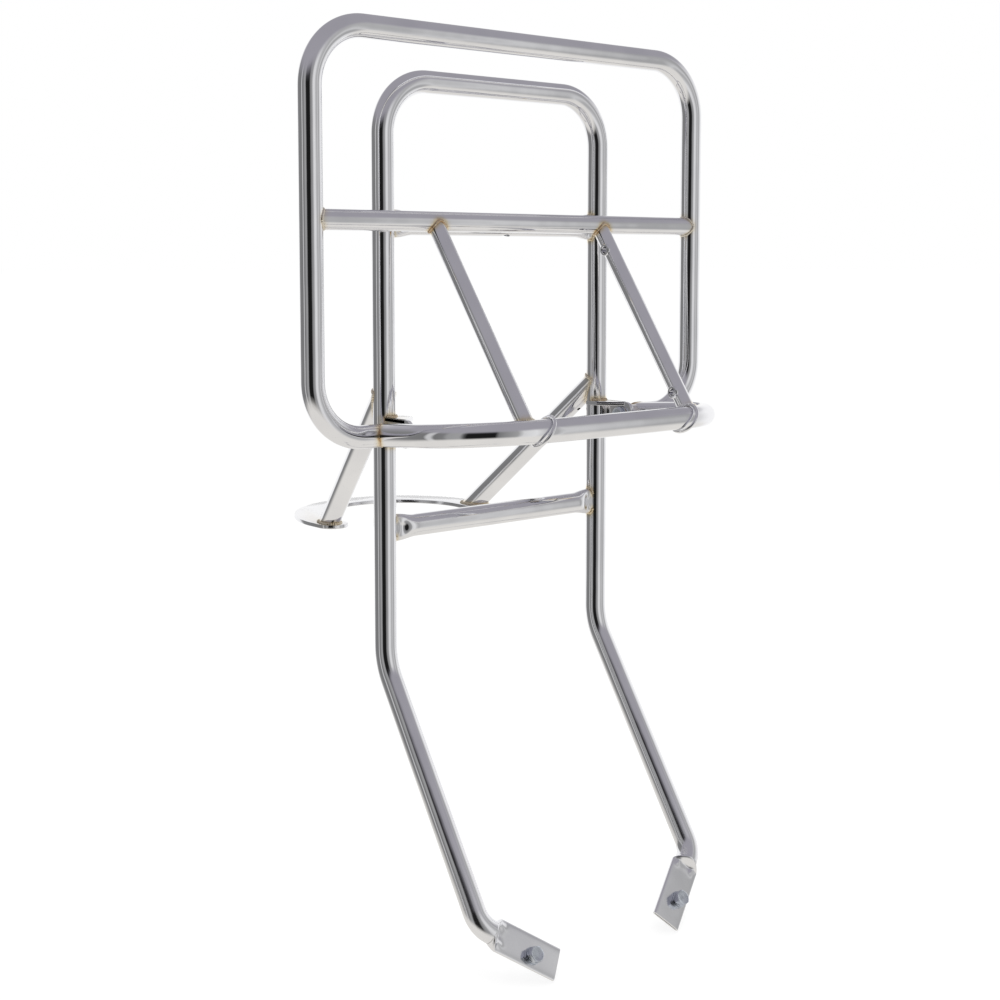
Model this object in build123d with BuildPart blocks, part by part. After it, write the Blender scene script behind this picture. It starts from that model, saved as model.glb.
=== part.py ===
from build123d import *
from math import cos, radians, sin
import os

# Fold-down rear rack bent from chromed steel tube, carrier folded up.
# Origin: middle of the seat plate's underside.  +X right, +Y forward to the seat, +Z up, in millimetres.

# Tube sections
tube_dia = 16.0
tube_wall = 1.5
rail_dia = 14.0
rail_wall = 1.2
strut_dia = 12.0
strut_wall = 1.2

# Main hoop: two upright legs joined by a top bar, raked below the bend
leg_spacing = 205.0
hoop_plane_y = -196.0
hoop_top_z = 331.0
hoop_corner_radius = 38.0
leg_bend_z = -79.5
leg_bend_radius = 45.0
leg_rake = 33.5
lower_leg_length = 190.0

# Feet: the hoop's ends bent inward and crushed flat
foot_turn = 50.4
foot_bend_radius = 20.0
foot_bend_to_flat = 15.3
foot_crush_length = 5.5
foot_width = 23.0
foot_length = 48.5
foot_edge_radius = 1.25
foot_hole_dia = 6.6
foot_hole_from_crease = 28.0
foot_hole_offset = 3.0
crush_slit = 0.5

# Crossbars of the frame, crushed upright where they meet the legs
upper_bar_z = 231.5
lower_bar_z = 17.0
bar_crush_height = 21.0
bar_crush_thickness = 6.0
bar_crush_length = 17.0
bar_vent_dia = 9.0
bar_vent_x = 7.0

# Seat plate: a flat horseshoe open towards the legs
seat_plate_thickness = 3.0
seat_plate_outer_radius = 84.0
seat_plate_inner_radius = 60.0
seat_plate_centre_y = -72.0
seat_plate_straight = 12.0

# Stays from the backs of the legs to the seat plate
stay_top_z = 113.2
stay_foot_x = 72.4
stay_foot_y = -80.0
stay_vent_dia = 3.0
stay_vent_from_leg = 28.0

# Hinge between the frame and the carrier, its axis along X
hinge_y = -222.8
hinge_z = 87.4
bracket_thickness = 3.0
bracket_top = 9.5
bracket_bottom = 10.0
bracket_cheek_x = 107.0
bracket_inboard_x = 88.5
bracket_inboard_depth = 15.0
bracket_side_overlap = 5.0
bracket_nose = 10.5
bracket_nose_radius = 7.0
bush_outer_dia = 11.5
bush_proud = 0.3
hinge_shoulder_dia = 8.0
hinge_running_clearance = 0.05
hinge_end_clearance = 0.15
hinge_thread_dia = 6.0
hinge_thread_length = 13.0
hinge_head_flats = 10.0
hinge_head_height = 4.0
hinge_collar_dia = 12.0
hinge_collar_height = 1.0
hinge_washer_dia = 14.0
hinge_washer_thickness = 1.6
plug_seat_length = 8.0

# Carrier: the big loop, its crossbar, the bow and its struts
loop_width = 358.0
loop_top_z = 359.7
loop_top_radius = 42.0
loop_bottom_radius = 39.0
seam_half_width = 123.8
carrier_bar_z = 232.6
bow_half_width = 123.8
bow_depth = 104.0
bow_rise = 7.7
bow_bend_radius = 65.0
strut_top_x = 78.3
strut_foot_x = 76.5
strut_foot_depth = 97.5

# Cutters that cope and slot the pieces, and that mitre the loop and the bow
cutter_length = 100.0
mitre_cut_width = 40.0

# Threaded inserts in the right strut
insert_hole_dia = 5.0
insert_sleeve_dia = 7.0
insert_flange_dia = 9.0
insert_flange_height = 0.8
insert_depth = 3.0
insert_upper_drop = 19.0
insert_lower_drop = 121.0

# Loose wire rings that hang leaning on the bow
ring_left_run = 68.8
ring_right_run = 63.4
ring_section = 2.4
ring_lean = 32.0
ring_clearance = 0.05

# Fasteners in the feet
bolt_dia = 6.0
bolt_shank_dia = 5.4
bolt_length = 16.0
bolt_thread_length = 9.0
bolt_head_flats = 10.0
bolt_head_height = 4.0
flat_washer_dia = 12.0
flat_washer_thickness = 1.2
flat_washer_hole_dia = 6.4
spring_washer_dia = 11.0
spring_washer_thickness = 1.6
spring_washer_hole_dia = 6.2
spring_washer_gap = 1.2

# Worked-out places
tube_radius = tube_dia / 2
tube_bore = tube_dia - 2 * tube_wall
leg_x = leg_spacing / 2
foot_thickness = 2 * tube_wall
bow_y = hinge_y - bow_depth
bow_z = hinge_z + bow_rise
lower_leg_direction = Vector(0, -sin(radians(leg_rake)), -cos(radians(leg_rake)))
foot_normal = Vector(0, -cos(radians(leg_rake)), sin(radians(leg_rake)))

cheek_inner_x = bracket_cheek_x - bracket_thickness
bush_inner_x = cheek_inner_x - bush_proud
bush_outer_x = bracket_cheek_x + bush_proud
bolt_seat_x = bush_inner_x - hinge_end_clearance
washer_x = bush_outer_x + hinge_end_clearance
plug_face_x = washer_x + hinge_washer_thickness
plug_end_x = seam_half_width + plug_seat_length
ring_radius = (tube_radius + ring_clearance + ring_section / 2) / cos(radians(ring_lean))

os.makedirs("parts", exist_ok=True)


def write(part, label):
    part.label = label
    export_step(part, f"parts/{label}.step")


def ring(outer_dia, inner_dia):
    """Annular profile of a tube, washer or bush."""
    Circle(outer_dia / 2)
    Circle(inner_dia / 2, mode=Mode.SUBTRACT)


def oval(width, thickness):
    """Four-arc outline, round when width equals thickness, so that round and crushed ends blend."""
    corner = Vector(
        (width - thickness) / 2 + thickness / 2 * cos(radians(45)),
        thickness / 2 * sin(radians(45)),
    )
    with BuildLine() as outline:
        ThreePointArc((-corner.X, corner.Y), (0, thickness / 2), (corner.X, corner.Y))
        ThreePointArc((corner.X, corner.Y), (width / 2, 0), (corner.X, -corner.Y))
        ThreePointArc((corner.X, -corner.Y), (0, -thickness / 2), (-corner.X, -corner.Y))
        ThreePointArc((-corner.X, -corner.Y), (-width / 2, 0), (-corner.X, corner.Y))
    make_face(outline.edges())


def foot_points(side):
    """Centre-line points of one lower leg: its bend, the foot bend, the start and end of the crush."""
    leg_bend = Vector(side * leg_x, hoop_plane_y, leg_bend_z)
    foot_bend = leg_bend + lower_leg_direction * lower_leg_length
    inward = Vector(-side, 0, 0)
    along = lower_leg_direction * cos(radians(foot_turn)) + inward * sin(radians(foot_turn))
    flat_start = foot_bend + along * foot_bend_to_flat
    crush_start = flat_start - along * foot_crush_length
    return leg_bend, foot_bend, crush_start, flat_start, along


def foot_plane(origin, along):
    """Plane across the foot, its y axis through the strip's thickness."""
    return Plane(origin=origin, x_dir=foot_normal.cross(along), z_dir=along)


def foot_bolt_plane(side):
    """Plane on the outer face of one foot at its bolt hole, its z axis pointing out of the face."""
    flat_start, along = foot_points(side)[3:]
    downhill = foot_normal.cross(along)
    if downhill.Z > 0:
        downhill = -downhill
    hole = flat_start + along * foot_hole_from_crease + downhill * foot_hole_offset
    return Plane(origin=hole + foot_normal * (foot_thickness / 2), x_dir=along, z_dir=foot_normal)


# Main hoop, one tube from foot to foot
left_bend, left_foot_bend, left_crush, left_flat, left_along = foot_points(-1)
right_bend, right_foot_bend, right_crush, right_flat, right_along = foot_points(1)
with BuildPart() as main_hoop:
    with BuildLine() as hoop_path:
        FilletPolyline(
            left_crush,
            left_foot_bend,
            left_bend,
            (-leg_x, hoop_plane_y, hoop_top_z),
            (leg_x, hoop_plane_y, hoop_top_z),
            right_bend,
            right_foot_bend,
            right_crush,
            radius=[
                foot_bend_radius,
                leg_bend_radius,
                hoop_corner_radius,
                hoop_corner_radius,
                leg_bend_radius,
                foot_bend_radius,
            ],
        )
    with BuildSketch(foot_plane(left_crush, -left_along)):
        ring(tube_dia, tube_bore)
    sweep()
    for crush_start, flat_start, along in (
        (left_crush, left_flat, left_along),
        (right_crush, right_flat, right_along),
    ):
        # Crushed stretch, then the flat strip with its bolt hole
        with BuildSketch(foot_plane(crush_start, along)):
            oval(tube_dia, tube_dia)
        with BuildSketch(foot_plane(flat_start, along)):
            oval(foot_width, foot_thickness)
        loft()
        with BuildSketch(foot_plane(flat_start, along)):
            RectangleRounded(foot_width, foot_thickness, foot_edge_radius)
        extrude(amount=foot_length)
        with BuildSketch(foot_plane(crush_start, along)):
            oval(tube_bore, tube_bore)
        with BuildSketch(foot_plane(flat_start, along)):
            oval(foot_width - 2 * tube_wall, crush_slit)
        loft(mode=Mode.SUBTRACT)
    for side in (-1, 1):
        with BuildSketch(foot_bolt_plane(side)):
            Circle(foot_hole_dia / 2)
        extrude(amount=-2 * foot_thickness, mode=Mode.SUBTRACT)
write(main_hoop.part, "main_hoop")


def crossbar(label, height, vented):
    """Tube between the legs, its ends crushed upright and coped to the legs."""
    round_x = leg_x - tube_radius - bar_crush_length
    with BuildPart() as bar:
        for side in (-1, 1):
            end_plane = Plane(origin=(side * leg_x, hoop_plane_y, height), x_dir=(0, 0, 1), z_dir=(side, 0, 0))
            round_plane = end_plane.offset(round_x - leg_x)
            with BuildSketch(round_plane):
                oval(tube_dia, tube_dia)
            with BuildSketch(end_plane):
                oval(bar_crush_height, bar_crush_thickness)
            loft()
            with BuildSketch(round_plane):
                oval(tube_bore, tube_bore)
            with BuildSketch(end_plane):
                oval(bar_crush_height - 2 * tube_wall, bar_crush_thickness - 2 * tube_wall)
            loft(mode=Mode.SUBTRACT)
            with Locations((side * leg_x, hoop_plane_y, height)):
                Cylinder(tube_radius, cutter_length, mode=Mode.SUBTRACT)
        with BuildSketch(Plane(origin=(0, hoop_plane_y, height), z_dir=(1, 0, 0))):
            ring(tube_dia, tube_bore)
        extrude(amount=round_x, both=True)
        if vented:
            with BuildSketch(Plane(origin=(bar_vent_x, hoop_plane_y, height), z_dir=(0, 0, -1))):
                Circle(bar_vent_dia / 2)
            extrude(amount=tube_dia, mode=Mode.SUBTRACT)
    write(bar.part, label)


crossbar("upper_crossbar", upper_bar_z, vented=True)
crossbar("lower_crossbar", lower_bar_z, vented=False)

# Seat plate
with BuildPart() as seat_plate:
    strip_width = seat_plate_outer_radius - seat_plate_inner_radius
    strip_middle = seat_plate_inner_radius + strip_width / 2
    with BuildSketch():
        with Locations((0, seat_plate_centre_y)):
            ring(2 * seat_plate_outer_radius, 2 * seat_plate_inner_radius)
        with Locations((0, seat_plate_centre_y - seat_plate_outer_radius)):
            Rectangle(2 * seat_plate_outer_radius, 2 * seat_plate_outer_radius, mode=Mode.SUBTRACT)
        with Locations(
            (-strip_middle, seat_plate_centre_y - seat_plate_straight / 2),
            (strip_middle, seat_plate_centre_y - seat_plate_straight / 2),
        ):
            Rectangle(strip_width, seat_plate_straight)
        with Locations(
            (-strip_middle, seat_plate_centre_y - seat_plate_straight),
            (strip_middle, seat_plate_centre_y - seat_plate_straight),
        ):
            Circle(strip_width / 2)
    extrude(amount=seat_plate_thickness)
write(seat_plate.part, "seat_plate")


def stay(label, side):
    """Tube from the back of one leg down to the top of the seat plate, cut level there."""
    top = Vector(side * leg_x, hoop_plane_y, stay_top_z)
    foot = Vector(side * stay_foot_x, stay_foot_y, seat_plate_thickness)
    axis = (foot - top).normalized()
    underside = axis.cross(Vector(1, 0, 0)).normalized()
    if underside.Z > 0:
        underside = -underside
    with BuildPart() as tube:
        with BuildSketch(Plane(origin=top, z_dir=axis)):
            ring(tube_dia, tube_bore)
        extrude(amount=(foot - top).length + tube_dia)
        with Locations((side * leg_x, hoop_plane_y, stay_top_z)):
            Cylinder(tube_radius, cutter_length, mode=Mode.SUBTRACT)
        split(bisect_by=Plane.XY.offset(seat_plate_thickness), keep=Keep.TOP)
        with BuildSketch(Plane(origin=top + axis * stay_vent_from_leg, z_dir=underside)):
            Circle(stay_vent_dia / 2)
        extrude(amount=tube_dia, mode=Mode.SUBTRACT)
    write(tube.part, label)


stay("stay_left", -1)
stay("stay_right", 1)


def hinge_bracket(label, side):
    """Folded channel on the front of one leg: an upright cheek with the eye, and two flanges."""
    nose_y = hinge_y - bracket_nose
    rear_y = hoop_plane_y - tube_radius + bracket_side_overlap
    cheek_height = bracket_top + bracket_bottom
    cheek_middle_z = hinge_z + (bracket_top - bracket_bottom) / 2
    with BuildPart() as bracket:
        with BuildSketch(Plane.XY.offset(hinge_z - bracket_bottom)):
            with BuildLine():
                Polyline(
                    (side * bracket_inboard_x, rear_y),
                    (side * bracket_inboard_x, hoop_plane_y - bracket_inboard_depth),
                    (side * cheek_inner_x, nose_y + bracket_nose_radius),
                    (side * bracket_cheek_x, nose_y + bracket_nose_radius),
                    (side * bracket_cheek_x, rear_y),
                    close=True,
                )
            make_face()
        extrude(amount=cheek_height)
        # Space between the flanges, open inboard and at the front
        with BuildSketch(Plane.YZ.offset(side * cheek_inner_x)):
            with Locations(((nose_y + rear_y) / 2, cheek_middle_z)):
                Rectangle(cutter_length, cheek_height - 2 * bracket_thickness)
        extrude(amount=-side * leg_x, mode=Mode.SUBTRACT)
        # Rounded nose of the cheek
        with BuildSketch(Plane.YZ.offset(side * cheek_inner_x)):
            with Locations(((nose_y + rear_y) / 2, cheek_middle_z)):
                RectangleRounded(rear_y - nose_y, cheek_height, bracket_nose_radius)
            with Locations((rear_y - (rear_y - nose_y) / 4, cheek_middle_z)):
                Rectangle((rear_y - nose_y) / 2, cheek_height)
        extrude(amount=side * bracket_thickness)
        with BuildSketch(Plane.YZ.offset(side * cheek_inner_x)):
            with Locations((hinge_y, hinge_z)):
                Circle(bush_outer_dia / 2)
        extrude(amount=side * bracket_thickness, mode=Mode.SUBTRACT)
        with Locations((side * leg_x, hoop_plane_y, hinge_z)):
            Cylinder(tube_radius, cutter_length, mode=Mode.SUBTRACT)
    write(bracket.part, label)


def hinge_bush(label, side):
    """Plain bush pressed into the eye of one bracket."""
    with BuildPart() as bush:
        with BuildSketch(Plane(origin=(side * bush_inner_x, hinge_y, hinge_z), z_dir=(side, 0, 0))):
            ring(bush_outer_dia, hinge_shoulder_dia + 2 * hinge_running_clearance)
        extrude(amount=bush_outer_x - bush_inner_x)
    write(bush.part, label)


def hinge_bolt(label, side):
    """Shoulder bolt: hex head with a collar, plain shoulder in the bush, thread in the plug."""
    seat = Plane(origin=(side * bolt_seat_x, hinge_y, hinge_z), x_dir=(0, 1, 0), z_dir=(side, 0, 0))
    with BuildPart() as bolt:
        with BuildSketch(seat):
            Circle(hinge_collar_dia / 2)
        extrude(amount=-hinge_collar_height)
        with BuildSketch(seat.offset(-hinge_collar_height)):
            RegularPolygon(hinge_head_flats / 2, 6, major_radius=False)
        extrude(amount=-hinge_head_height)
        with BuildSketch(seat):
            Circle(hinge_shoulder_dia / 2)
        extrude(amount=plug_face_x - bolt_seat_x)
        with BuildSketch(seat.offset(plug_face_x - bolt_seat_x)):
            Circle(hinge_thread_dia / 2)
        extrude(amount=hinge_thread_length)
    write(bolt.part, label)


def hinge_plug(label, side):
    """Threaded plug that fills the carrier tube's bore at the hinge and stands out to the washer."""
    with BuildPart() as plug:
        with BuildSketch(Plane(origin=(side * plug_face_x, hinge_y, hinge_z), z_dir=(side, 0, 0))):
            ring(tube_bore, hinge_thread_dia)
        extrude(amount=plug_end_x - plug_face_x)
    write(plug.part, label)


for side, name in ((-1, "left"), (1, "right")):
    hinge_bracket(f"hinge_bracket_{name}", side)
    hinge_bush(f"hinge_bush_{name}", side)
    hinge_bolt(f"hinge_bolt_{name}", side)
    hinge_plug(f"hinge_plug_{name}", side)

# Spacer washers between the bushes and the carrier's plugs
with BuildPart() as hinge_washers:
    for side in (-1, 1):
        with BuildSketch(Plane(origin=(side * washer_x, hinge_y, hinge_z), z_dir=(side, 0, 0))):
            ring(hinge_washer_dia, hinge_shoulder_dia)
        extrude(amount=hinge_washer_thickness)
write(hinge_washers.part, "hinge_washers")


def seam(side):
    """Point where the loop meets the bow, and the unit direction square to their mitred joint."""
    point = Vector(side * seam_half_width, hinge_y, hinge_z)
    corner = Vector(side * bow_half_width, bow_y, bow_z)
    arm = (corner - point).normalized()
    return point, (Vector(side, 0, 0) - arm).normalized()


def bow_end(side):
    """End of the bow's centre line, one diameter past the seam, where the mitre takes it off again."""
    point = Vector(side * seam_half_width, hinge_y, hinge_z)
    corner = Vector(side * bow_half_width, bow_y, bow_z)
    return point + (point - corner).normalized() * tube_dia


def mitre(side, keep_loop):
    """Cut away the tube beyond the seam on one side."""
    point, square = seam(side)
    direction = -square if keep_loop else square
    with BuildSketch(Plane(origin=point, z_dir=direction)) as beyond:
        Rectangle(mitre_cut_width, mitre_cut_width)
    extrude(beyond.sketch, amount=2 * tube_dia, mode=Mode.SUBTRACT)


# Carrier loop, from seam to seam
with BuildPart() as carrier_loop:
    loop_x = loop_width / 2
    loop_end_x = seam_half_width - tube_dia
    with BuildLine():
        FilletPolyline(
            (-loop_end_x, hinge_y, hinge_z),
            (-loop_x, hinge_y, hinge_z),
            (-loop_x, hinge_y, loop_top_z),
            (loop_x, hinge_y, loop_top_z),
            (loop_x, hinge_y, hinge_z),
            (loop_end_x, hinge_y, hinge_z),
            radius=[loop_bottom_radius, loop_top_radius, loop_top_radius, loop_bottom_radius],
        )
    with BuildSketch(Plane(origin=(-loop_end_x, hinge_y, hinge_z), z_dir=(-1, 0, 0))):
        ring(tube_dia, tube_bore)
    sweep()
    mitre(-1, keep_loop=True)
    mitre(1, keep_loop=True)
write(carrier_loop.part, "carrier_loop")

# Centre line of the bow
with BuildLine() as bow_path:
    FilletPolyline(
        bow_end(-1),
        (-bow_half_width, bow_y, bow_z),
        (bow_half_width, bow_y, bow_z),
        bow_end(1),
        radius=bow_bend_radius,
    )
bow_start = Plane(origin=bow_path.line @ 0, z_dir=bow_path.line % 0)

# Bow, from seam to seam, with the holes that its hinge plugs pass through
with BuildPart() as bow:
    with BuildSketch(bow_start):
        ring(tube_dia, tube_bore)
    sweep(path=bow_path.line)
    mitre(-1, keep_loop=False)
    mitre(1, keep_loop=False)
    with BuildSketch(Plane(origin=(0, hinge_y, hinge_z), z_dir=(1, 0, 0))):
        Circle(tube_bore / 2)
    extrude(amount=seam_half_width, both=True, mode=Mode.SUBTRACT)
write(bow.part, "bow")

# Crossbar of the carrier, coped to the loop's uprights
with BuildPart() as carrier_crossbar:
    with BuildSketch(Plane(origin=(0, hinge_y, carrier_bar_z), z_dir=(1, 0, 0))):
        ring(rail_dia, rail_dia - 2 * rail_wall)
    extrude(amount=loop_width / 2, both=True)
    with Locations((-loop_width / 2, hinge_y, carrier_bar_z), (loop_width / 2, hinge_y, carrier_bar_z)):
        Cylinder(tube_radius, cutter_length, mode=Mode.SUBTRACT)
write(carrier_crossbar.part, "carrier_crossbar")


def strut_axis(side):
    """Top point, foot point and direction of one strut."""
    top = Vector(side * strut_top_x, hinge_y, carrier_bar_z)
    foot = Vector(side * strut_foot_x, hinge_y - strut_foot_depth, bow_z)
    return top, foot, (foot - top).normalized()


def insert_plane(drop):
    """Plane across one insert of the right strut, at a drop below the crossbar, its z axis inboard."""
    top, foot, axis = strut_axis(1)
    centre = top + axis * (drop / -axis.Z)
    return Plane(origin=centre, z_dir=(-1, 0, 0))


def strut(label, side, insert_drops):
    """Tube from the carrier crossbar down to the bow, coped at both ends and drilled for any inserts."""
    top, foot, axis = strut_axis(side)
    with BuildPart() as tube:
        with BuildSketch(Plane(origin=top, z_dir=axis)):
            ring(strut_dia, strut_dia - 2 * strut_wall)
        extrude(amount=(foot - top).length)
        for drop in insert_drops:
            with BuildSketch(insert_plane(drop)):
                Circle(insert_sleeve_dia / 2)
            extrude(amount=strut_dia, mode=Mode.SUBTRACT)
        with BuildSketch(Plane(origin=(0, hinge_y, carrier_bar_z), z_dir=(1, 0, 0))):
            Circle(rail_dia / 2)
        extrude(amount=loop_width / 2, both=True, mode=Mode.SUBTRACT)
        with BuildSketch(bow_start):
            Circle(tube_radius)
        sweep(path=bow_path.line, mode=Mode.SUBTRACT)
    write(tube.part, label)


strut("strut_left", -1, insert_drops=())
strut("strut_right", 1, insert_drops=(insert_upper_drop, insert_lower_drop))

# Two threaded inserts in the right strut, their flanges seated on its round inner side
with BuildPart() as strut_inserts:
    for drop in (insert_upper_drop, insert_lower_drop):
        with BuildSketch(insert_plane(drop).offset(strut_dia / 2 + insert_flange_height)):
            Circle(insert_flange_dia / 2)
        extrude(amount=-strut_dia / 2)
    top, foot, axis = strut_axis(1)
    with BuildSketch(Plane(origin=top, z_dir=axis)):
        Circle(strut_dia / 2)
    extrude(amount=(foot - top).length, mode=Mode.SUBTRACT)
    for drop in (insert_upper_drop, insert_lower_drop):
        face = insert_plane(drop).offset(strut_dia / 2 + insert_flange_height)
        with BuildSketch(face):
            Circle(insert_sleeve_dia / 2)
        extrude(amount=-insert_depth)
        with BuildSketch(face):
            Circle(insert_hole_dia / 2)
        extrude(amount=-insert_depth, mode=Mode.SUBTRACT)
write(strut_inserts.part, "strut_inserts")


def bow_ring(label, run):
    """Wire ring hung on the bow at a run from its middle, its top leaning to the right."""
    place = 0.5 + run / bow_path.wire().length
    centre = bow_path.wire() @ place
    tangent = bow_path.wire() % place
    outward = tangent.cross(Vector(0, 0, 1)).normalized()
    upward = outward.cross(tangent)
    ring_axis = tangent * cos(radians(ring_lean)) - upward * sin(radians(ring_lean))
    with BuildPart() as wire:
        with BuildSketch(Plane(origin=centre, x_dir=outward, z_dir=outward.cross(ring_axis))):
            with Locations((ring_radius, 0)):
                Circle(ring_section / 2)
        revolve(axis=Axis(centre, ring_axis))
    write(wire.part, label)


bow_ring("bow_ring_left", -ring_left_run)
bow_ring("bow_ring_right", ring_right_run)

# Bolts in the feet, heads on the outer faces
with BuildPart() as foot_bolts:
    for side in (-1, 1):
        seat = foot_bolt_plane(side).offset(flat_washer_thickness + spring_washer_thickness)
        with BuildSketch(seat):
            RegularPolygon(bolt_head_flats / 2, 6, major_radius=False)
        extrude(amount=bolt_head_height)
        with BuildSketch(seat):
            Circle(bolt_shank_dia / 2)
        extrude(amount=bolt_thread_length - bolt_length)
        with BuildSketch(seat.offset(bolt_thread_length - bolt_length)):
            Circle(bolt_dia / 2)
        extrude(amount=-bolt_thread_length)
write(foot_bolts.part, "foot_bolts")

with BuildPart() as foot_flat_washers:
    for side in (-1, 1):
        with BuildSketch(foot_bolt_plane(side)):
            ring(flat_washer_dia, flat_washer_hole_dia)
        extrude(amount=flat_washer_thickness)
write(foot_flat_washers.part, "foot_flat_washers")

with BuildPart() as foot_spring_washers:
    for side in (-1, 1):
        with BuildSketch(foot_bolt_plane(side).offset(flat_washer_thickness)):
            ring(spring_washer_dia, spring_washer_hole_dia)
            with Locations((spring_washer_dia / 2, 0)):
                Rectangle(spring_washer_dia, spring_washer_gap, mode=Mode.SUBTRACT)
        extrude(amount=spring_washer_thickness)
write(foot_spring_washers.part, "foot_spring_washers")
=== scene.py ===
import bpy
import bmesh
from math import atan2, cos, degrees, exp, pi, radians, sin, sqrt, tan
from mathutils import Matrix, Vector
from mathutils.kdtree import KDTree


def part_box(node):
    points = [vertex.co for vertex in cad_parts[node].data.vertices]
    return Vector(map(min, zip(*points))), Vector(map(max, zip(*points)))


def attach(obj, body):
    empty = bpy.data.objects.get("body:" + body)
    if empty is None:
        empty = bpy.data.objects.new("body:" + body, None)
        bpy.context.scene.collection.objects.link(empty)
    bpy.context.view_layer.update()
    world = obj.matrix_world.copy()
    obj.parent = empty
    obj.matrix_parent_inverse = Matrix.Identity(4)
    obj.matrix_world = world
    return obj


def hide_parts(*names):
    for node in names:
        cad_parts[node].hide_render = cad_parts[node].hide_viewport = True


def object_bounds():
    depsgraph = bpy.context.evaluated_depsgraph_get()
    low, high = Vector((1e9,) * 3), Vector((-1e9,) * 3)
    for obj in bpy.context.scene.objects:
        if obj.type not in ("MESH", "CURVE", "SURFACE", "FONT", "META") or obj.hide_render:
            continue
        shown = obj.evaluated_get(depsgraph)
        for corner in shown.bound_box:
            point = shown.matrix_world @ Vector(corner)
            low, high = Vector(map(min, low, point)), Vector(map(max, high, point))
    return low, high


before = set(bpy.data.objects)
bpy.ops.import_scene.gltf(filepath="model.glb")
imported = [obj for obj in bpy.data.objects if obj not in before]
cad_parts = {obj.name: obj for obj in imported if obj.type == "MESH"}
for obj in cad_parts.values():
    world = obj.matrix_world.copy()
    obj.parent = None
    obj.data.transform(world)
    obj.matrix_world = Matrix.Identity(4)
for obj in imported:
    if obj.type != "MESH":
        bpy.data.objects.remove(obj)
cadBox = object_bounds()
scene = bpy.context.scene
print("stage: frame loaded")

mm = 0.001

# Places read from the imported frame
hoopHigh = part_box("main_hoop")[1]
loopLow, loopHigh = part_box("carrier_loop")
bowLow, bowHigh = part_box("bow")
barLow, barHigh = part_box("carrier_crossbar")
upperLow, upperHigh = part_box("upper_crossbar")
lowerLow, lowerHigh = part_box("lower_crossbar")
plateLow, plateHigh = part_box("seat_plate")
bracketLow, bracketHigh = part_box("hinge_bracket_right")

tube = {
    "radius": 8.0 * mm,
    "railRadius": (barHigh.z - barLow.z) / 2,
    "strutRadius": 6.0 * mm,
    "stepLength": 2.0 * mm,
    "segments": 48,
}

hoop = {
    "legX": hoopHigh.x - tube["radius"],
    "planeY": hoopHigh.y - tube["radius"],
    "topZ": hoopHigh.z - tube["radius"],
    "cornerRadius": 38.0 * mm,
    "bendZ": -79.5 * mm,
    "bendRadius": 45.0 * mm,
    "rake": 33.5,
    "lowerLegLength": 190.0 * mm,
}

foot = {
    "turn": 50.4,
    "bendRadius": 20.0 * mm,
    "bendToFlat": 15.3 * mm,
    "crushLength": 5.5 * mm,
    "width": 23.0 * mm,
    "thickness": 3.0 * mm,
    "length": 48.5 * mm,
    "holeFromCrease": 28.0 * mm,
    "holeOffset": 3.0 * mm,
    "holeRadius": 3.3 * mm,
    "ridgeHeight": 1.1 * mm,
    "ridgeOffset": 6.4 * mm,
    "valleyDepth": 0.9 * mm,
    "creaseDepth": 0.35 * mm,
}

carrier = {
    "loopX": loopHigh.x - tube["radius"],
    "planeY": (loopLow.y + loopHigh.y) / 2,
    "topZ": loopHigh.z - tube["radius"],
    "hingeZ": 87.4 * mm,
    "topRadius": 42.0 * mm,
    "bottomRadius": 39.0 * mm,
    "seamX": 123.8 * mm,
    "barZ": (barLow.z + barHigh.z) / 2,
    "bowX": 123.8 * mm,
    "bowY": bowLow.y + tube["radius"],
    "bowZ": bowHigh.z - tube["radius"],
    "bowRadius": 65.0 * mm,
    "strutTopX": 78.3 * mm,
    "strutFootX": 76.5 * mm,
    "strutFootDepth": 97.5 * mm,
}

across = Vector((1, 0, 0))
forward = Vector((0, 1, 0))
upward = Vector((0, 0, 1))
legDown = Vector((0, -sin(radians(hoop["rake"])), -cos(radians(hoop["rake"]))))
footNormal = Vector((0, -cos(radians(hoop["rake"])), sin(radians(hoop["rake"]))))


# Materials

def addNode(tree, kind, place=(0, 0), inputs=None, **settings):
    node = tree.nodes.new(kind)
    node.location = place
    for key, value in settings.items():
        setattr(node, key, value)
    feed(node, inputs or {})
    return node


def feed(node, inputs):
    # A node stands for its first output; anything but a socket is set as a plain value
    for key, value in inputs.items():
        source = value.outputs[0] if isinstance(value, bpy.types.Node) else value
        if isinstance(source, bpy.types.NodeSocket):
            node.id_data.links.new(source, node.inputs[key])
        else:
            node.inputs[key].default_value = source


def rampStops(node, stops):
    ramp = node.color_ramp
    while len(ramp.elements) > 1:
        ramp.elements.remove(ramp.elements[-1])
    ramp.elements[0].position = stops[0][0]
    ramp.elements[0].color = (*stops[0][1], 1)
    for position, colour in stops[1:]:
        ramp.elements.new(position).color = (*colour, 1)


def emptyMaterial(name):
    material = bpy.data.materials.new(name)
    material.use_nodes = True
    material.node_tree.nodes.clear()
    return material, material.node_tree


def startMaterial(name):
    material, tree = emptyMaterial(name)
    shader = addNode(tree, "ShaderNodeBsdfPrincipled", (600, 0), {"Metallic": 1.0})
    addNode(tree, "ShaderNodeOutputMaterial", (900, 0), {"Surface": shader})
    coordinates = addNode(tree, "ShaderNodeTexCoord", (-900, 0))
    return material, tree, shader, coordinates


def noiseFrom(tree, coordinates, scale, detail, place, roughness=0.5):
    return addNode(tree, "ShaderNodeTexNoise", place, {
        "Scale": scale, "Detail": detail, "Roughness": roughness, "Vector": coordinates.outputs["Object"]})


def mathNode(tree, operation, first, second, place, clamp=False):
    inputs = {0: first, 1: second}
    return addNode(tree, "ShaderNodeMath", place, inputs, operation=operation, use_clamp=clamp)


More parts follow.
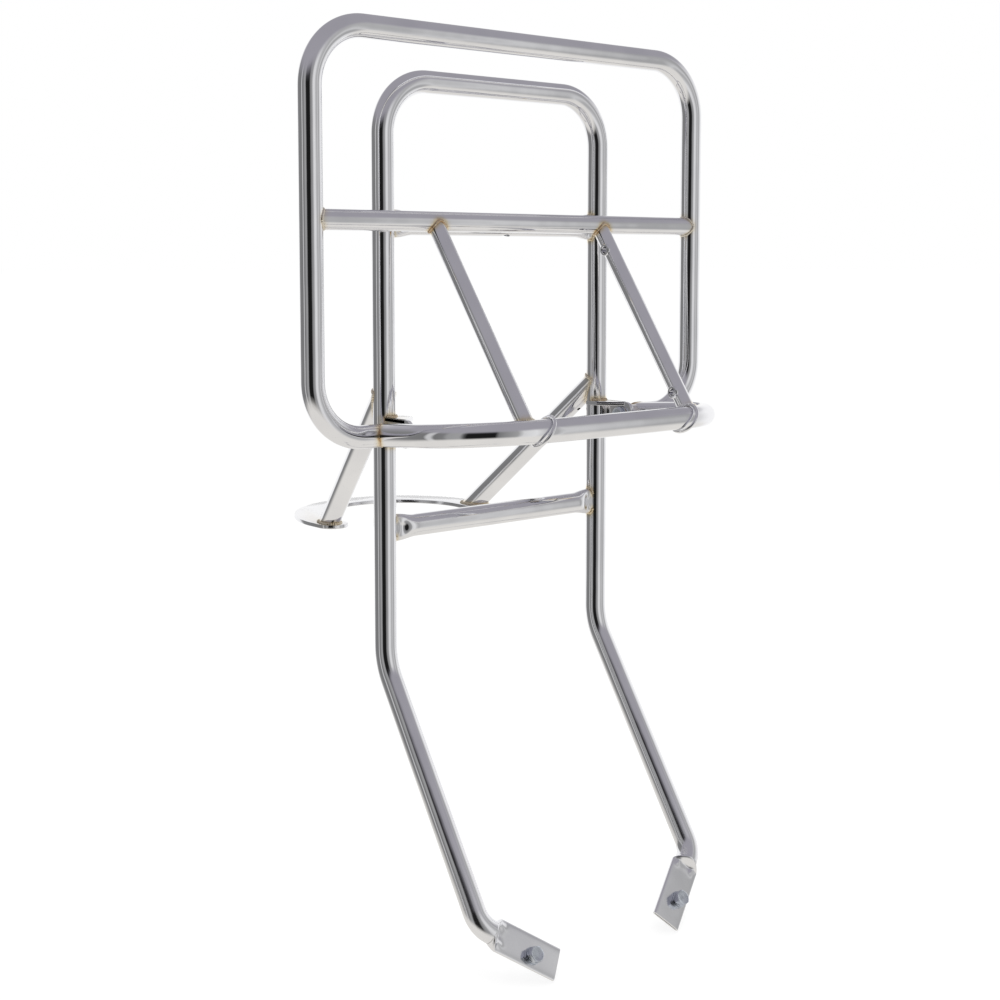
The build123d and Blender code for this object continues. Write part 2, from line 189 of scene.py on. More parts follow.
def rangeNode(tree, value, fromLow, fromHigh, toLow, toHigh, place):
    return addNode(tree, "ShaderNodeMapRange", place, {
        "Value": value, "From Min": fromLow, "From Max": fromHigh, "To Min": toLow, "To Max": toHigh})


def bumpNode(tree, height, strength, distance, place):
    inputs = {"Height": height, "Strength": strength, "Distance": distance}
    return addNode(tree, "ShaderNodeBump", place, inputs)


chromeFinish = {
    "dull": (0.80, 0.80, 0.82),
    "tint": [
        (0.0, (0.88, 0.88, 0.90)),
        (0.25, (0.80, 0.70, 0.52)),
        (0.5, (0.52, 0.34, 0.19)),
        (0.75, (0.33, 0.26, 0.25)),
        (1.0, (0.24, 0.20, 0.18)),
    ],
    "roughness": (0.035, 0.075),
    "satinRoughness": 0.10,
    "heatRoughness": 0.22,
    "waviness": 0.05,
    "wavesPerMetre": 28,
}


def makeChrome(finish):
    material, tree, shader, coordinates = startMaterial("chromePlate")
    heat = addNode(tree, "ShaderNodeAttribute", (-900, 300), attribute_name="weldHeat")
    satin = addNode(tree, "ShaderNodeAttribute", (-900, 500), attribute_name="satin")
    blotches = noiseFrom(tree, coordinates, 420, 4, (-650, 300), 0.65)
    uneven = rangeNode(tree, blotches, 0.3, 0.7, 0.55, 1.25, (-450, 300))
    heated = mathNode(tree, "MULTIPLY", heat.outputs["Fac"], uneven, (-250, 300), clamp=True)
    ramp = addNode(tree, "ShaderNodeValToRGB", (-50, 300), {"Fac": heated})
    rampStops(ramp, finish["tint"])
    # Slight dulling where the polish is thin
    cloud = noiseFrom(tree, coordinates, 35, 3, (-650, 50))
    thin = rangeNode(tree, cloud, 0.35, 0.75, 0.0, 0.35, (-450, 50))
    dulled = addNode(tree, "ShaderNodeMix", (250, 200), {
        "Factor": thin, "A": ramp, "B": (*finish["dull"], 1)}, data_type="RGBA", blend_type="MULTIPLY")
    # Polish marks, satin stretches and scale at the welds
    marks = noiseFrom(tree, coordinates, 900, 5, (-650, -200), 0.7)
    polish = rangeNode(tree, marks, 0.3, 0.7, *finish["roughness"], (-450, -200))
    satinPart = mathNode(tree, "MULTIPLY", satin.outputs["Fac"], finish["satinRoughness"], (-250, -120))
    heatPart = mathNode(tree, "MULTIPLY", heated, finish["heatRoughness"], (-250, -280))
    summed = mathNode(tree, "ADD", polish, satinPart, (-50, -150))
    rough = mathNode(tree, "ADD", summed, heatPart, (150, -200))
    # The tube is never quite straight under the plating
    waves = noiseFrom(tree, coordinates, finish["wavesPerMetre"], 2, (-650, -450), 0.4)
    pits = noiseFrom(tree, coordinates, 1500, 2, (-650, -650))
    pitHeight = mathNode(tree, "MULTIPLY", pits, heated, (-250, -600))
    pitBump = bumpNode(tree, pitHeight, 0.4, 0.0003, (150, -600))
    waveBump = bumpNode(tree, waves, finish["waviness"], 0.01, (350, -450))
    feed(waveBump, {"Normal": pitBump})
    feed(shader, {"Base Color": dulled.outputs["Result"], "Roughness": rough, "Normal": waveBump})
    return material


plainMetals = {
    "zincSteel": {
        "colours": ((0.70, 0.74, 0.80), (0.50, 0.53, 0.58)), "scale": 260,
        "roughness": (0.16, 0.34), "bump": 0.12,
    },
    "bushBrass": {
        "colours": ((0.74, 0.56, 0.28), (0.52, 0.36, 0.17)), "scale": 300,
        "roughness": (0.22, 0.42), "bump": 0.15,
    },
}


def makeMetal(name, finish):
    material, tree, shader, coordinates = startMaterial(name)
    cloud = noiseFrom(tree, coordinates, finish["scale"], 4, (-650, 200), 0.6)
    ramp = addNode(tree, "ShaderNodeValToRGB", (-350, 200), {"Fac": cloud})
    bright, dim = finish["colours"]
    rampStops(ramp, [(0.3, dim), (0.62, bright)])
    grain = noiseFrom(tree, coordinates, finish["scale"] * 4, 3, (-650, -150))
    rough = rangeNode(tree, grain, 0.3, 0.7, *finish["roughness"], (-350, -150))
    bump = bumpNode(tree, grain, finish["bump"], 0.0002, (200, -350))
    feed(shader, {"Base Color": ramp, "Roughness": rough, "Normal": bump})
    return material


chromePlate = makeChrome(chromeFinish)
zincSteel, bushBrass = (makeMetal(name, finish) for name, finish in plainMetals.items())
print("stage: materials ready")


# Geometry Nodes trees

def startTree(name, sockets):
    tree = bpy.data.node_groups.new(name, "GeometryNodeTree")
    tree.interface.new_socket("Geometry", in_out="INPUT", socket_type="NodeSocketGeometry")
    for label, kind, value in sockets:
        socket = tree.interface.new_socket(label, in_out="INPUT", socket_type="NodeSocket" + kind)
        if value is not None:
            socket.default_value = value
    tree.interface.new_socket("Geometry", in_out="OUTPUT", socket_type="NodeSocketGeometry")
    start = addNode(tree, "NodeGroupInput", (-1200, 0))
    end = addNode(tree, "NodeGroupOutput", (1200, 0))
    return tree, start, end


def finishTree(tree, start, end, geometry):
    smooth = addNode(tree, "GeometryNodeSetShadeSmooth", (600, 0), {"Geometry": geometry})
    realize = addNode(tree, "GeometryNodeRealizeInstances", (800, 0), {"Geometry": smooth})
    finish = addNode(tree, "GeometryNodeSetMaterial", (1000, 0), {
        "Geometry": realize, "Material": start.outputs["Material"]})
    feed(end, {"Geometry": finish})


def sweepNode(tree, curve, profile, place):
    return addNode(tree, "GeometryNodeCurveToMesh", place, {
        "Curve": curve, "Profile Curve": profile, "Fill Caps": True})


def circleNode(tree, radius, resolution, place):
    inputs = {"Radius": radius, "Resolution": resolution}
    return addNode(tree, "GeometryNodeCurvePrimitiveCircle", place, inputs, mode="RADIUS")


def makeBentTubeTree():
    tree, start, end = startTree("bentTube", [
        ("Tube Radius", "Float", 0.008), ("Step Length", "Float", 0.002), ("Bend Steps", "Int", 24),
        ("Segments", "Int", 48), ("Material", "Material", None),
    ])
    toCurve = addNode(tree, "GeometryNodeMeshToCurve", (-900, 0), {"Mesh": start})
    bend = addNode(tree, "GeometryNodeInputNamedAttribute", (-900, -200), {"Name": "bendRadius"},
                   data_type="FLOAT")
    fillet = addNode(tree, "GeometryNodeFilletCurve", (-700, 0), {
        "Curve": toCurve, "Radius": bend.outputs["Attribute"], "Count": start.outputs["Bend Steps"],
    }, mode="POLY")
    line = addNode(tree, "GeometryNodeResampleCurve", (-500, 0), {
        "Curve": fillet, "Length": start.outputs["Step Length"]}, mode="LENGTH")
    circle = circleNode(tree, start.outputs["Tube Radius"], start.outputs["Segments"], (-300, -300))
    finishTree(tree, start, end, sweepNode(tree, line, circle, (0, 0)))
    return tree


beadTree = {
    "step": 0.3 * mm,
    "sides": 12,
    "unevenness": 260,
    "lumps": 0.5,
}


def makeWeldBeadTree():
    tree, start, end = startTree("weldBead", [
        ("Bead Radius", "Float", 0.0014), ("Ripple Pitch", "Float", 0.0013), ("Ripple Depth", "Float", 0.14),
        ("Wander", "Float", 0.0005), ("Seed", "Float", 1.0), ("Material", "Material", None),
    ])
    toCurve = addNode(tree, "GeometryNodeMeshToCurve", (-1000, 0), {"Mesh": start})
    resample = addNode(tree, "GeometryNodeResampleCurve", (-800, 0), {
        "Curve": toCurve, "Length": beadTree["step"]}, mode="LENGTH")
    # The line wanders off its path
    place = addNode(tree, "GeometryNodeInputPosition", (-1000, -300))
    noise = addNode(tree, "ShaderNodeTexNoise", (-800, -300), noise_dimensions="4D")
    feed(noise, {"Vector": place, "W": start.outputs["Seed"], "Scale": beadTree["unevenness"], "Detail": 1})
    centred = addNode(tree, "ShaderNodeVectorMath", (-600, -300), {
        0: noise.outputs["Color"], 1: (0.5, 0.5, 0.5)}, operation="SUBTRACT")
    scaled = addNode(tree, "ShaderNodeVectorMath", (-400, -300), {
        0: centred, "Scale": start.outputs["Wander"]}, operation="SCALE")
    move = addNode(tree, "GeometryNodeSetPosition", (-200, 0), {"Geometry": resample, "Offset": scaled})
    # Ripples along it, and lumps
    length = addNode(tree, "GeometryNodeSplineParameter", (-1000, -600))
    turns = mathNode(tree, "DIVIDE", length.outputs["Length"], start.outputs["Ripple Pitch"], (-800, -600))
    angle = mathNode(tree, "MULTIPLY", turns, 2 * pi, (-600, -600))
    wave = mathNode(tree, "SINE", angle, 0, (-400, -600))
    ripple = mathNode(tree, "MULTIPLY", wave, start.outputs["Ripple Depth"], (-200, -600))
    thick = mathNode(tree, "MULTIPLY", noise, beadTree["lumps"], (-200, -800))
    summed = mathNode(tree, "ADD", ripple, thick, (0, -600))
    scale = mathNode(tree, "ADD", summed, 1 - beadTree["lumps"] / 2, (150, -600))
    circle = circleNode(tree, start.outputs["Bead Radius"], beadTree["sides"], (0, -300))
    sweep = sweepNode(tree, move, circle, (300, 0))
    feed(sweep, {"Scale": scale})
    finishTree(tree, start, end, sweep)
    return tree


def makeThreadTree():
    tree, start, end = startTree("boltThread", [
        ("Thread Radius", "Float", 0.003), ("Pitch", "Float", 0.001), ("Length", "Float", 0.009),
        ("Material", "Material", None),
    ])
    radius, pitch, length = (start.outputs[name] for name in ("Thread Radius", "Pitch", "Length"))
    turns = mathNode(tree, "DIVIDE", length, pitch, (-900, 0))
    ridge = mathNode(tree, "MULTIPLY", pitch, 0.45, (-900, -200))
    run = mathNode(tree, "SUBTRACT", radius, ridge, (-700, -200))
    spiral = addNode(tree, "GeometryNodeCurveSpiral", (-500, 0), {
        "Resolution": 28, "Rotations": turns, "Start Radius": run, "End Radius": run, "Height": length})
    profile = circleNode(tree, ridge, 6, (-500, -300))
    finishTree(tree, start, end, sweepNode(tree, spiral, profile, (-200, 0)))
    return tree


bentTubeTree = makeBentTubeTree()
weldBeadTree = makeWeldBeadTree()
threadTree = makeThreadTree()
print("stage: node trees ready")


# Mesh helpers

def newObject(name, mesh):
    made = bpy.data.objects.new(name, mesh)
    scene.collection.objects.link(made)
    return made


def evaluatedMesh(source):
    bpy.context.view_layer.update()
    result = bpy.data.meshes.new_from_object(source.evaluated_get(bpy.context.evaluated_depsgraph_get()))
    source.modifiers.clear()
    bpy.data.objects.remove(source)
    return result


def grow(mesh, tree, values):
    # Runs one tree on a path mesh; inputs are set by identifier before the first evaluation
    source = newObject(tree.name + "Source", mesh)
    modifier = source.modifiers.new("grow", "NODES")
    modifier.node_group = tree
    for item in tree.interface.items_tree:
        if item.in_out == "INPUT" and item.name in values:
            modifier[item.identifier] = values[item.name]
    return evaluatedMesh(source)


def pathMesh(points, bends=None, closed=False):
    mesh = bpy.data.meshes.new("path")
    edges = [(index, index + 1) for index in range(len(points) - 1)]
    if closed:
        edges.append((len(points) - 1, 0))
    mesh.from_pydata([tuple(point) for point in points], edges, [])
    if bends is not None:
        layer = mesh.attributes.new("bendRadius", "FLOAT", "POINT")
        layer.data.foreach_set("value", bends)
    return mesh


def smoothed(mesh, sharpAngle=38):
    mesh.shade_smooth()
    mesh.set_sharp_from_angle(angle=radians(sharpAngle))
    return mesh


def settle(mesh, sharpAngle=38):
    # Welds doubled vertices and turns every face outward
    shell = bmesh.new()
    shell.from_mesh(mesh)
    bmesh.ops.remove_doubles(shell, verts=shell.verts, dist=1e-6)
    bmesh.ops.recalc_face_normals(shell, faces=shell.faces)
    if shell.calc_volume(signed=True) < 0:
        bmesh.ops.reverse_faces(shell, faces=shell.faces)
    shell.to_mesh(mesh)
    shell.free()
    return smoothed(mesh, sharpAngle)


def joined(meshes):
    shell = bmesh.new()
    for mesh in meshes:
        shell.from_mesh(mesh)
    whole = bpy.data.meshes.new("joined")
    shell.to_mesh(whole)
    shell.free()
    return whole


def bentTube(points, bends, radius):
    values = {
        "Tube Radius": radius, "Step Length": tube["stepLength"], "Bend Steps": 32,
        "Segments": tube["segments"], "Material": chromePlate,
    }
    return settle(grow(pathMesh(points, bends), bentTubeTree, values))


def loft(rings, closeEnds=True):
    count = len(rings[0])
    vertices = [tuple(point) for ring in rings for point in ring]
    faces = []
    for row in range(len(rings) - 1):
        for column in range(count):
            nextColumn = (column + 1) % count
            faces.append((
                row * count + column, row * count + nextColumn,
                (row + 1) * count + nextColumn, (row + 1) * count + column,
            ))
    if closeEnds:
        faces.append(tuple(range(count)))
        faces.append(tuple(range((len(rings) - 1) * count, len(rings) * count)))
    mesh = bpy.data.meshes.new("loft")
    mesh.from_pydata(vertices, [], faces)
    return mesh


def sidesOf(axis):
    axis = Vector(axis).normalized()
    helper = upward if abs(axis.z) < 0.9 else across
    first = axis.cross(helper).normalized()
    return axis, first, axis.cross(first)


def around(axis, count=72):
    # Unit vectors square to the axis, one for each step round it
    first, second = sidesOf(axis)[1:]
    angles = [2 * pi * step / count for step in range(count)]
    return [first * cos(angle) + second * sin(angle) for angle in angles]


def turned(profile, origin, axis, segments=64):
    # Lathe: profile is a closed list of (radius, along) pairs
    axis = Vector(axis).normalized()
    rings = [
        [origin + axis * along + outward * radius for radius, along in profile]
        for outward in around(axis, segments)
    ]
    rings.append(rings[0])
    return settle(loft(rings, closeEnds=False))


def ringProfile(outer, inner, length, chamfer=0.25 * mm):
    return [
        (inner, 0), (outer - chamfer, 0), (outer, chamfer),
        (outer, length - chamfer), (outer - chamfer, length), (inner, length),
    ]


def cutHoles(mesh, holes):
    # holes is a list of (start, direction, radius, depth)
    cutters = []
    for start, direction, radius, depth in holes:
        direction = Vector(direction).normalized()
        cutters.append(loft([
            [start + direction * along + outward * radius for outward in around(direction, 48)]
            for along in (0, depth)
        ]))
    cutter = newObject("cutter", settle(joined(cutters)))
    source = newObject("drilled", mesh)
    modifier = source.modifiers.new("cut", "BOOLEAN")
    modifier.operation = "DIFFERENCE"
    modifier.solver = "EXACT"
    modifier.object = cutter
    result = evaluatedMesh(source)
    bpy.data.objects.remove(cutter)
    return smoothed(result)


def trimmed(mesh, point, direction):
    # Removes what lies beyond the plane and closes the cut
    shell = bmesh.new()
    shell.from_mesh(mesh)
    cut = bmesh.ops.bisect_plane(
        shell, geom=shell.verts[:] + shell.edges[:] + shell.faces[:], dist=1e-7,
        plane_co=point, plane_no=direction, clear_outer=True,
    )
    rim = [item for item in cut["geom_cut"] if isinstance(item, bmesh.types.BMEdge)]
    bmesh.ops.holes_fill(shell, edges=rim)
    shell.to_mesh(mesh)
    shell.free()
    return settle(mesh)


def flatPlate(outline, thickness, origin, first, second, bevel):
    # Extrudes a closed outline and rounds every edge
    normal = first.cross(second).normalized()
    shell = bmesh.new()
    base = [shell.verts.new(origin + first * u + second * v) for u, v in outline]
    face = shell.faces.new(base)
    lifted = bmesh.ops.extrude_face_region(shell, geom=[face])
    moved = [item for item in lifted["geom"] if isinstance(item, bmesh.types.BMVert)]
    bmesh.ops.translate(shell, verts=moved, vec=normal * thickness)
    bmesh.ops.recalc_face_normals(shell, faces=shell.faces)
    rims = [edge for edge in shell.edges if edge.calc_face_angle(0) > radians(25)]
    bmesh.ops.bevel(shell, geom=rims, offset=bevel, segments=2, affect="EDGES", profile=0.6)
    mesh = bpy.data.meshes.new("plate")
    shell.to_mesh(mesh)
    shell.free()
    return settle(mesh, 30)


# Weld heat and satin, kept on the vertices

weldPoints = []  # point, reach of the tint, strength


def storeFinish(mesh, satin):
    finder = KDTree(len(weldPoints))
    for index, (point, reach, strength) in enumerate(weldPoints):
        finder.insert(point, index)
    finder.balance()
    heats = []
    for vertex in mesh.vertices:
        index, distance = finder.find(vertex.co)[1:]
        reach, strength = weldPoints[index][1:]
        heats.append(strength * exp(-((distance / reach) ** 2)))
    layer = mesh.attributes.new("weldHeat", "FLOAT", "POINT")
    layer.data.foreach_set("value", heats)
    satins = [satin(vertex.co) if callable(satin) else satin for vertex in mesh.vertices]
    layer = mesh.attributes.new("satin", "FLOAT", "POINT")
    layer.data.foreach_set("value", satins)


placed = []


def place(name, mesh, body, slot, material, replaced=(), satin=0.0):
    mesh.name = name
    mesh.materials.clear()
    mesh.materials.append(material)
    for polygon in mesh.polygons:
        polygon.material_index = 0
    made = newObject(name, mesh)
    placed.append((made, satin))
    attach(made, body)
    if replaced:
        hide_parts(*replaced)


def placeChrome(name, mesh, body, replaced=(), satin=0.0):
    place(name, mesh, body, "chrome_plate", chromePlate, replaced, satin)


def placeZinc(name, mesh, body, replaced=()):
    place(name, mesh, body, "zinc_steel", zincSteel, replaced)


weldBeadLook = {"Ripple Pitch": 1.3 * mm, "Ripple Depth": 0.12, "Wander": 0.7 * mm}

# For each kind of joint: the bead's radius, the reach of its heat tint and the tint's strength
beads = {
    "leftCrossbar": (1.1 * mm, 2.6 * mm, 0.3),
    "rightCrossbar": (1.1 * mm, 2.6 * mm, 0.375),
    "stayLeg": (1.0 * mm, 2.6 * mm, 0.25),
    "stayPlate": (1.3 * mm, 2.6 * mm, 0.35),
    "bracketLeg": (1.2 * mm, 2.8 * mm, 0.45),
    "bracketSide": (1.0 * mm, 2.6 * mm, 0.35),
    "bowSeam": (0.6 * mm, 2.6 * mm, 0.45),
    "carrierBar": (1.0 * mm, 2.6 * mm, 0.2),
    "strutTop": (1.0 * mm, 2.6 * mm, 0.5),
    "strutFoot": (1.0 * mm, 2.6 * mm, 0.3),
}


def weldBead(name, path, body, kind, seed, closed=True):
    radius, reach, strength = beads[kind]
    values = dict(weldBeadLook)
    values.update({"Bead Radius": radius, "Seed": seed, "Material": chromePlate})
    mesh = settle(grow(pathMesh(path, closed=closed), weldBeadTree, values), 60)
    weldPoints.extend((Vector(point), reach, strength) for point in path)
    placeChrome(name, mesh, body, satin=0.8)


def copeCurve(start, direction, radius, otherPoint, otherDirection, otherRadius):
    # Where a tube of radius, seen from start along direction, first meets the other tube
    direction = Vector(direction).normalized()
    otherDirection = Vector(otherDirection).normalized()
    curve = []
    for outward in around(direction):
        origin = start + outward * radius
        gap = origin - otherPoint
        flatGap = gap - otherDirection * gap.dot(otherDirection)
        flatRun = direction - otherDirection * direction.dot(otherDirection)
        a, b = flatRun.dot(flatRun), 2 * flatRun.dot(flatGap)
        c = flatGap.dot(flatGap) - otherRadius ** 2
        root = max(b * b - 4 * a * c, 0)
        curve.append(origin + direction * ((-b - sqrt(root)) / (2 * a)))
    return curve


def smoothStep(value):
    value = min(max(value, 0), 1)
    return value * value * (3 - 2 * value)


def swell(value, middle, width):
    # 1 at the middle, fading to nothing over the width
    return exp(-(((value - middle) / width) ** 2))


def ovalPoint(angle, halfWidth, halfHeight, power):
    c, s = cos(angle), sin(angle)
    return (
        halfWidth * (1 if c >= 0 else -1) * abs(c) ** (2 / power),
        halfHeight * (1 if s >= 0 else -1) * abs(s) ** (2 / power),
    )


# Main hoop with its crushed feet

def footPoints(side):
    legBend = Vector((side * hoop["legX"], hoop["planeY"], hoop["bendZ"]))
    footBend = legBend + legDown * hoop["lowerLegLength"]
    along = legDown * cos(radians(foot["turn"])) + Vector((-side, 0, 0)) * sin(radians(foot["turn"]))
    flatStart = footBend + along * foot["bendToFlat"]
    return legBend, footBend, flatStart - along * foot["crushLength"], flatStart, along


def boltSeat(side):
    legBend, footBend, crushStart, flatStart, along = footPoints(side)
    downhill = footNormal.cross(along)
    if downhill.z > 0:
        downhill = -downhill
    centre = flatStart + along * foot["holeFromCrease"] + downhill * foot["holeOffset"]
    return centre + footNormal * (foot["thickness"] / 2)


def footMesh(side):
    crushStart, flatStart, along = footPoints(side)[2:]
    lateral = footNormal.cross(along)
    total = foot["crushLength"] + foot["length"]
    stations = [foot["crushLength"] * step / 14 for step in range(15)]
    stations += [foot["crushLength"] + foot["length"] * step / 32 for step in range(1, 33)]
    count = 120
    rings = []
    for station in stations:
        crushed = smoothStep(station / foot["crushLength"])
        halfWidth = tube["radius"] + (foot["width"] / 2 - tube["radius"]) * crushed
        halfHeight = tube["radius"] + (foot["thickness"] / 2 - tube["radius"]) * crushed
        past = station - foot["crushLength"]
        ring = []
        for step in range(count):
            angle = 2 * pi * (step + 0.5) / count
            u, v = ovalPoint(angle, halfWidth, halfHeight, 2 + 3.2 * crushed)
            edgeFade = 1 - smoothStep((abs(u) - 8.5 * mm) / (2.5 * mm))
            ridges = sum(swell(u, middle, 2.4 * mm) for middle in (-foot["ridgeOffset"], foot["ridgeOffset"]))
            bulge = foot["ridgeHeight"] * ridges * swell(past, 0.6 * mm, 2.6 * mm) * edgeFade
            valley = foot["valleyDepth"] * swell(u, 0, 2.6 * mm) * swell(past, -1.2 * mm, 2.2 * mm)
            crease = foot["creaseDepth"] * swell(u, 0, 0.9 * mm) * smoothStep(past / (3 * mm))
            v += (bulge - valley - crease) * (1 if v > 0 else -0.4) * crushed
            ring.append(crushStart + along * station + lateral * u + footNormal * v)
        rings.append(ring)
    # Rounded lip, then the slit between the two crushed walls
    for inset, ahead in ((0.35 * mm, 0.0), (1.2 * mm, -0.02 * mm), (1.25 * mm, -1.6 * mm)):
        ring = []
        for step in range(count):
            angle = 2 * pi * (step + 0.5) / count
            halfHeight = max(foot["thickness"] / 2 - inset, 0.18 * mm)
            u, v = ovalPoint(angle, foot["width"] / 2 - inset, halfHeight, 5.2)
            ring.append(crushStart + along * (total + ahead) + lateral * u + footNormal * v)
        rings.append(ring)
    mesh = settle(loft(rings))
    seat = boltSeat(side) + footNormal * 4 * mm
    return cutHoles(mesh, [(seat, -footNormal, foot["holeRadius"], 12 * mm)])


def buildHoop():
    left, right = footPoints(-1), footPoints(1)
    topLeft = Vector((-hoop["legX"], hoop["planeY"], hoop["topZ"]))
    topRight = Vector((hoop["legX"], hoop["planeY"], hoop["topZ"]))
    points = [left[2], left[1], left[0], topLeft, topRight, right[0], right[1], right[2]]
    bends = [0, foot["bendRadius"], hoop["bendRadius"], hoop["cornerRadius"], hoop["cornerRadius"],
             hoop["bendRadius"], foot["bendRadius"], 0]
    mesh = smoothed(joined([bentTube(points, bends, tube["radius"]), footMesh(-1), footMesh(1)]))

    def satin(point):
        near = min((point - footPoints(side)[3]).length for side in (-1, 1))
        return smoothStep((60 * mm - near) / (12 * mm))
    placeChrome("mainHoopTube", mesh, "frame", ["main_hoop"], satin)


buildHoop()
print("stage: hoop and feet")

# Crossbars of the frame

crossbar = {
    "crushLength": 17.0 * mm,
    "endHalfHeight": 9.7 * mm,
    "endHalfThickness": 3.9 * mm,
    "dimpleDepth": 1.3 * mm,
    "dimpleFrom": 11.5 * mm,
    "ventX": 7.0 * mm,
    "ventRadius": 4.5 * mm,
    "bite": 0.3 * mm,
    "weldFrom": 5.5 * mm,
}


def crossbarSection(distance, count=72):
    # Points (thickness, height) of the section at a distance from the start of the crush
    crushed = smoothStep(distance / (0.85 * crossbar["crushLength"]))
    halfThickness = tube["radius"] + (crossbar["endHalfThickness"] - tube["radius"]) * crushed
    halfHeight = tube["radius"] + (crossbar["endHalfHeight"] - tube["radius"]) * crushed
    points = []
    for step in range(count):
        y, z = ovalPoint(2 * pi * (step + 0.5) / count, halfThickness, halfHeight, 2 + 1.0 * crushed)
        dimple = crossbar["dimpleDepth"] * swell(z, 0, 4.2 * mm)
        dimple *= swell(distance, crossbar["dimpleFrom"], 3.6 * mm)
        points.append((y - (dimple if y > 0 else -dimple), z))
    return points


def buildCrossbar(name, height, replaced, vented):
    roundX = hoop["legX"] - tube["radius"] - crossbar["crushLength"]
    centre = Vector((0, hoop["planeY"], height))

    def endRings(side):
        rings = []
        for step in range(27):
            share = step / 26
            ring = []
            for y, z in crossbarSection(share * crossbar["crushLength"]):
                reach = hoop["legX"] - sqrt(tube["radius"] ** 2 - min(abs(y), tube["radius"] * 0.99) ** 2)
                x = roundX + share * (reach + crossbar["bite"] - roundX)
                ring.append(centre + Vector((side * x, y, z)))
            rings.append(ring)
        return rings
    leftRings, rightRings = endRings(-1), endRings(1)
    middle = [
        [centre + Vector((roundX * (2 * step / 40 - 1), y, z)) for y, z in crossbarSection(0)]
        for step in range(1, 40)
    ]
    mesh = settle(loft(leftRings[::-1] + middle + rightRings))
    if vented:
        start = centre + Vector((crossbar["ventX"], 0, -tube["radius"] - 1 * mm))
        mesh = cutHoles(mesh, [(start, upward, crossbar["ventRadius"], 13 * mm)])
    for side, label, rings in ((-1, "Left", leftRings), (1, "Right", rightRings)):
        for part, up in (("Top", 1), ("Bottom", -1)):
            rim = [point for point in rings[-1] if (point.z - height) * up > crossbar["weldFrom"]]
            weldBead(f"{name}Weld{label}{part}", sorted(rim, key=lambda point: point.y), "frame",
                     f"{label.lower()}Crossbar", 3.0 * side + height * 10, closed=False)
    placeChrome(name, mesh, "frame", [replaced])


buildCrossbar("upperCrossbarTube", (upperLow.z + upperHigh.z) / 2, "upper_crossbar", True)
buildCrossbar("lowerCrossbarTube", (lowerLow.z + lowerHigh.z) / 2, "lower_crossbar", False)
print("stage: frame crossbars")

# Stays and seat plate

stay = {
    "topZ": 113.2 * mm,
    "footX": 72.4 * mm,
    "footY": -80.0 * mm,
    "ventRadius": 1.5 * mm,
    "ventFromLeg": 28.0 * mm,
}

seatPlate = {
    "thickness": plateHigh.z - plateLow.z,
    "outerRadius": plateHigh.x,
    "innerRadius": 60.0 * mm,
    "centreY": plateHigh.y - plateHigh.x,
    "straight": 12.0 * mm,
    "edge": 0.5 * mm,
}


def buildStay(side, name, replaced):
    top = Vector((side * hoop["legX"], hoop["planeY"], stay["topZ"]))
    end = Vector((side * stay["footX"], stay["footY"], seatPlate["thickness"]))
    axis = (end - top).normalized()
    underside = axis.cross(across).normalized()
    if underside.z > 0:
        underside = -underside
    mesh = bentTube([top, end + axis * 2 * tube["radius"]], [0, 0], tube["radius"])
    mesh = trimmed(mesh, Vector((0, 0, seatPlate["thickness"] - 0.05 * mm)), -upward)
    vent = top + axis * stay["ventFromLeg"]
    mesh = cutHoles(mesh, [(vent, underside, stay["ventRadius"], 12 * mm)])
    placeChrome(name, mesh, "frame", [replaced])
    far = top + axis * 80 * mm
    collar = copeCurve(far, -axis, tube["radius"] + 0.2 * mm, top, upward, tube["radius"] + 0.2 * mm)
    weldBead(name + "LegWeld", collar, "frame", "stayLeg", 5.0 + side)
    rim = []
    for outward in around(axis):
        point = end + outward * (tube["radius"] + 0.1 * mm)
        rim.append(point + axis * ((seatPlate["thickness"] + 0.3 * mm - point.z) / axis.z))
    weldBead(name + "PlateWeld", rim, "frame", "stayPlate", 8.0 + side)


buildStay(-1, "stayLeftTube", "stay_left")
buildStay(1, "stayRightTube", "stay_right")


def arcPoints(x, y, radius, first, last, steps):
    angles = [first + (last - first) * step / steps for step in range(steps + 1)]
    return [(x + radius * cos(angle), y + radius * sin(angle)) for angle in angles]


def buildSeatPlate():
    outer, inner = seatPlate["outerRadius"], seatPlate["innerRadius"]
    middle, half = (outer + inner) / 2, (outer - inner) / 2
    straightY = seatPlate["centreY"] - seatPlate["straight"]
    outline = arcPoints(0, seatPlate["centreY"], outer, 0, pi, 96)
    outline += arcPoints(-middle, straightY, half, pi, 2 * pi, 24)
    outline += arcPoints(0, seatPlate["centreY"], inner, pi, 0, 96)
    outline += arcPoints(middle, straightY, half, pi, 2 * pi, 24)
    origin = Vector((0, 0, plateLow.z))
    mesh = flatPlate(outline, seatPlate["thickness"], origin, across, forward, seatPlate["edge"])
    placeChrome("seatPlateHorseshoe", mesh, "frame", ["seat_plate"], 0.9)


buildSeatPlate()
print("stage: stays and seat plate")

# Hinge: folded bracket, bush, shoulder bolt, washer and plug on each side

